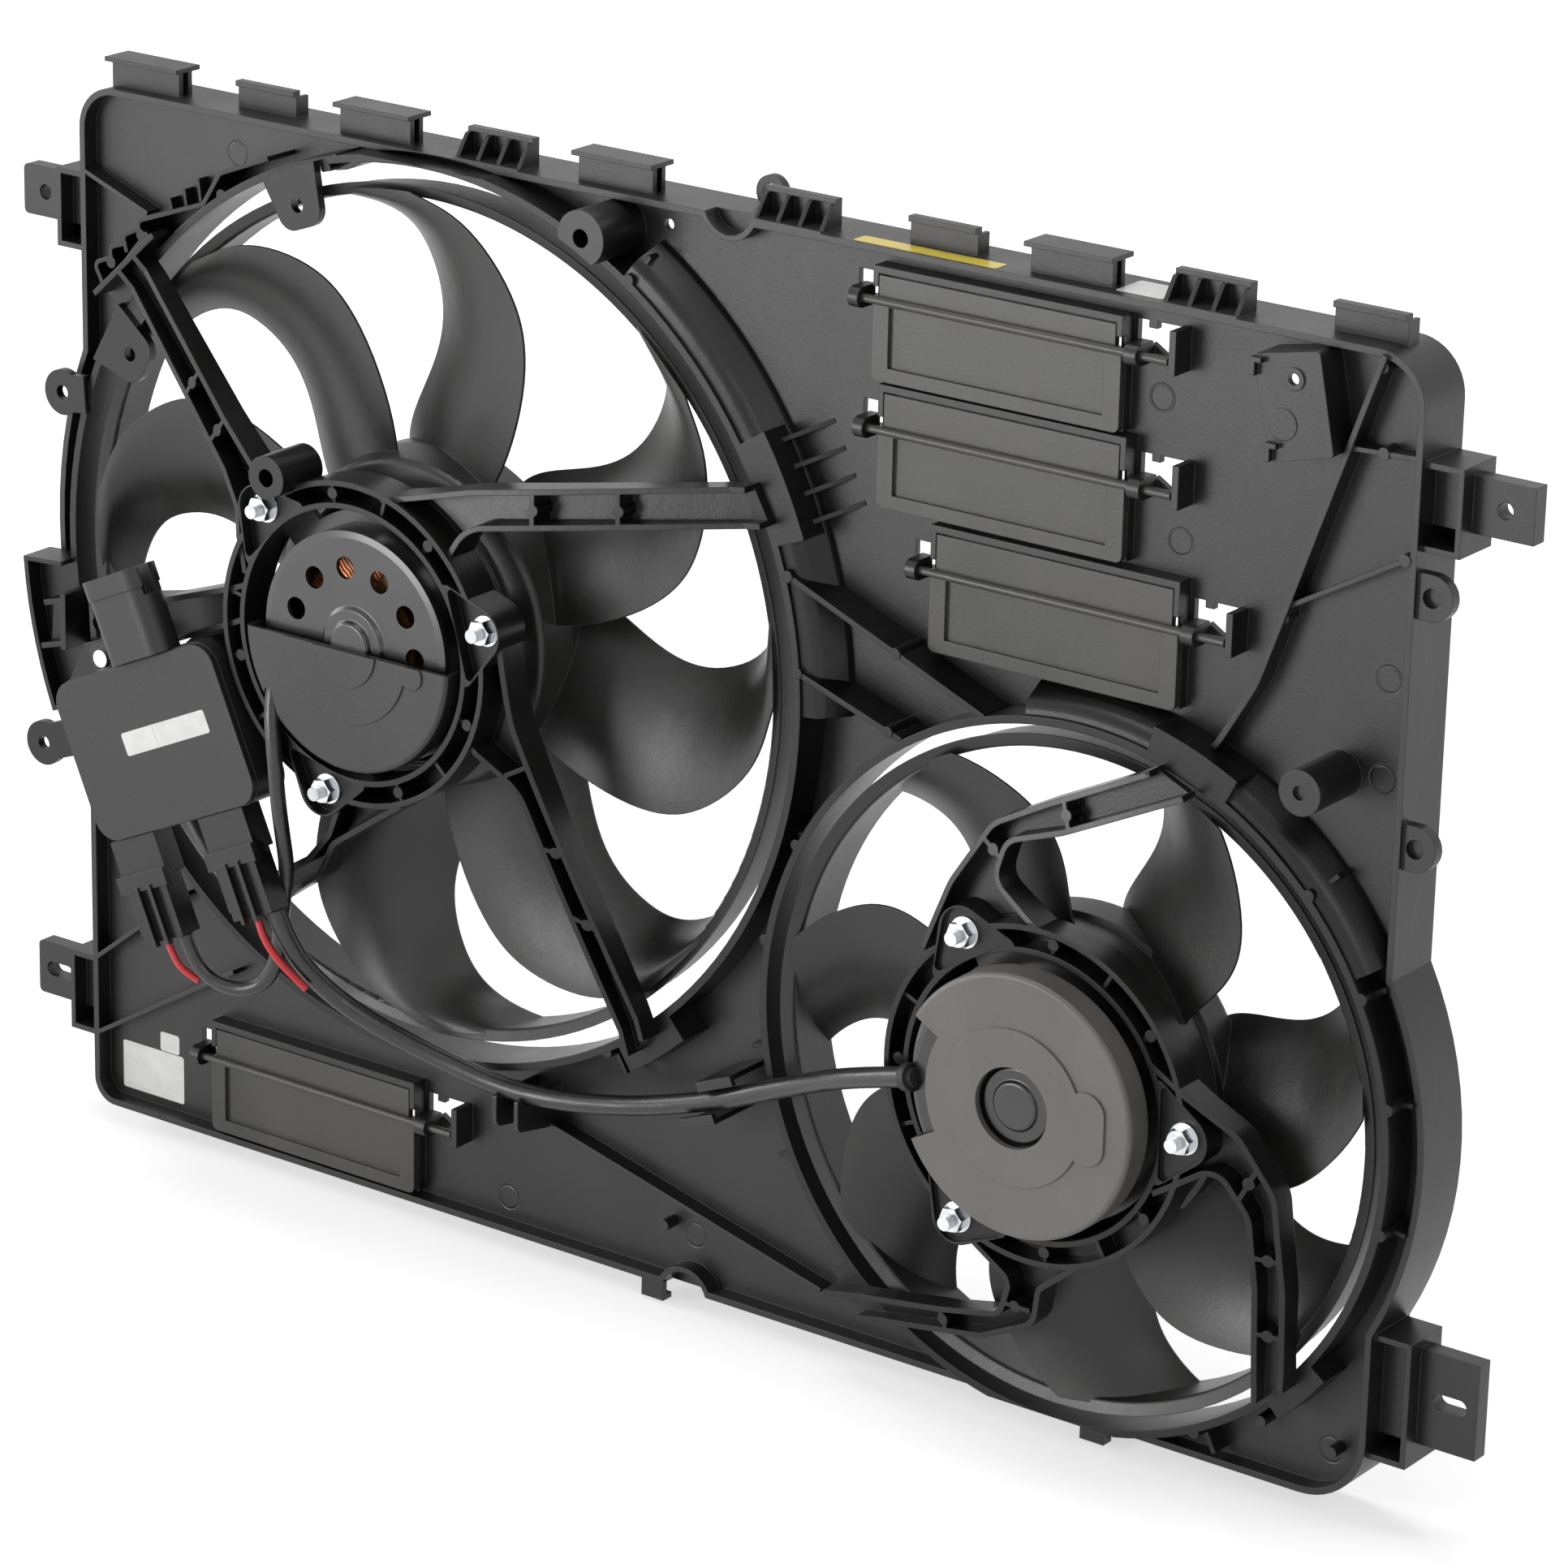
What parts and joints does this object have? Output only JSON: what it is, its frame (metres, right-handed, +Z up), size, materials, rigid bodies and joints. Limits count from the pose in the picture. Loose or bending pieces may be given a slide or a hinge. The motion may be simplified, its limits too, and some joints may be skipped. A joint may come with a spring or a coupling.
{
  "type": "radiator cooling fan",
  "caption": "Twin electric radiator fan assembly: moulded shroud with mounting ears, a large and a small banded fan on motors, ram air flaps and a control module.",
  "frame": {"origin": "midpoint between the two upper ear holes, on the front face of the ears' plates", "axes": "+X along the shroud's width, to the right as seen from the engine side; +Y from the engine side to the radiator, along the fan axes; +Z up"},
  "size_m": [0.7784, 0.0978, 0.506],
  "materials": {
    "shroud_plastic": "black glass-filled nylon, fine grain",
    "fan_plastic": "black moulded plastic, satin",
    "cover_plastic": "dark grey satin plastic",
    "flap_plastic": "black satin plastic",
    "module_plastic": "black fine-grained plastic",
    "plug_plastic": "black connector plastic",
    "black_steel": "black coated deep-drawn steel, gloss",
    "zinc_steel": "bright zinc plate",
    "bright_steel": "ground steel",
    "lamination_steel": "stacked laminations",
    "ferrite": "sintered ferrite",
    "copper_wire": "enamelled copper wire",
    "copper_bar": "turned copper bars",
    "bronze": "sintered bronze",
    "card": "brown laminate card",
    "circuit_board": "green coated board",
    "sleeve": "soft black sleeve",
    "red_wire": "red insulation",
    "grommet_rubber": "black rubber"
  },
  "bodies": {
    "shroud": {"left_fan_duct": "shroud_plastic", "left_motor_brush_card": "card", "left_motor_bushes": "bronze", "left_motor_can": "black_steel", "left_motor_carrier": "shroud_plastic", "left_motor_end_cap": "black_steel", "left_motor_half_cover": "cover_plastic", "left_motor_lead": "sleeve", "left_motor_magnets": "ferrite", "left_motor_nuts": "zinc_steel", "left_motor_studs": "zinc_steel", "left_plug": "plug_plastic", "module_board": "circuit_board", "module_bracket": "shroud_plastic", "module_header": "module_plastic", "module_housing": "module_plastic", "module_lid": "module_plastic", "module_screws": "zinc_steel", "plug_wires": "red_wire", "right_fan_duct": "shroud_plastic", "right_motor_brush_card": "card", "right_motor_bushes": "bronze", "right_motor_can": "black_steel", "right_motor_carrier": "shroud_plastic", "right_motor_cover": "cover_plastic", "right_motor_end_cap": "black_steel", "right_motor_grommet": "grommet_rubber", "right_motor_lead": "sleeve", "right_motor_magnets": "ferrite", "right_motor_nuts": "zinc_steel", "right_motor_studs": "zinc_steel", "right_plug": "plug_plastic", "shroud_panel": "shroud_plastic"},
    "left_fan": {"left_fan": "fan_plastic", "left_fan_clip": "bright_steel", "left_motor_shaft": "bright_steel", "left_motor_armature_core": "lamination_steel", "left_motor_windings": "copper_wire", "left_motor_commutator": "copper_bar"},
    "right_fan": {"right_fan": "fan_plastic", "right_fan_clip": "bright_steel", "right_motor_shaft": "bright_steel", "right_motor_armature_core": "lamination_steel", "right_motor_windings": "copper_wire", "right_motor_commutator": "copper_bar"},
    "flap_1": {"flap_1": "flap_plastic"},
    "flap_2": {"flap_2": "flap_plastic"},
    "flap_3": {"flap_3": "flap_plastic"},
    "flap_4": {"flap_4": "flap_plastic"}
  },
  "joints": [
    {"name": "left_fan_spin", "type": "hinge", "parent": "shroud", "child": "left_fan", "pos_m": [-0.1415, -0.011, -0.1473], "axis": [0, 1, 0], "continuous": true},
    {"name": "right_fan_spin", "type": "hinge", "parent": "shroud", "child": "right_fan", "pos_m": [0.1995, -0.011, -0.2738], "axis": [0, 1, 0], "continuous": true},
    {"name": "flap_1_swing", "type": "hinge", "parent": "shroud", "child": "flap_1", "pos_m": [0.147, -0.0126, 0.035], "axis": [1, 0, 0], "range_deg": [-70, 0]},
    {"name": "flap_2_swing", "type": "hinge", "parent": "shroud", "child": "flap_2", "pos_m": [0.151, -0.0126, -0.019], "axis": [1, 0, 0], "range_deg": [-70, 0]},
    {"name": "flap_3_swing", "type": "hinge", "parent": "shroud", "child": "flap_3", "pos_m": [0.179, -0.0126, -0.074], "axis": [1, 0, 0], "range_deg": [-70, 0]},
    {"name": "flap_4_swing", "type": "hinge", "parent": "shroud", "child": "flap_4", "pos_m": [-0.212, -0.0126, -0.388], "axis": [1, 0, 0], "range_deg": [-70, 0]}
  ]
}
